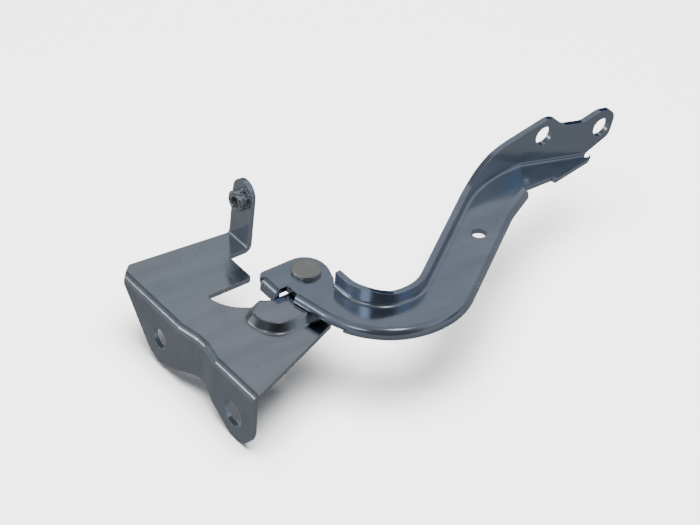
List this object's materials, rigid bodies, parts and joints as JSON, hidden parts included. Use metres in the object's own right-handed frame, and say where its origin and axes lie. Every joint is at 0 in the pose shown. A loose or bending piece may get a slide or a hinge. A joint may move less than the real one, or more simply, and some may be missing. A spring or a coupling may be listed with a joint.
{
  "type": "bonnet hinge",
  "caption": "Pressed steel bonnet hinge: gooseneck arm with two bonnet bolt holes, turning on one rivet on a flanged body bracket with a nut tab.",
  "frame": {"origin": "centre of the rear body bolt hole, on the bracket's mounting face", "axes": "+X from the mounting face into the bracket, +Y towards the tab end of the bracket, +Z along the pivot to the rivet head; the arm stands fully open"},
  "size_m": [0.27, 0.1249, 0.0696],
  "materials": {
    "bracket_zinc": "bright zinc plate, blue passivated",
    "arm_zinc": "bright zinc plate, blue passivated",
    "rivet_steel": "plain plated steel, slightly grainy",
    "nut_steel": "bright zinc plate",
    "washer_steel": "plated steel",
    "bush_bronze": "dull bronze"
  },
  "bodies": {
    "bracket": {"body_bracket": "bracket_zinc", "tab_weld_nut": "nut_steel", "pivot_rivet": "rivet_steel", "thrust_washer": "washer_steel", "backing_washer": "washer_steel"},
    "arm": {"bonnet_arm": "arm_zinc", "pivot_bush": "bush_bronze"}
  },
  "joints": [
    {"name": "arm_swing", "type": "hinge", "parent": "bracket", "child": "arm", "pos_m": [0.068, -0.023, 0.0253], "axis": [0, 0, 1], "range_deg": [-90, 0]}
  ]
}
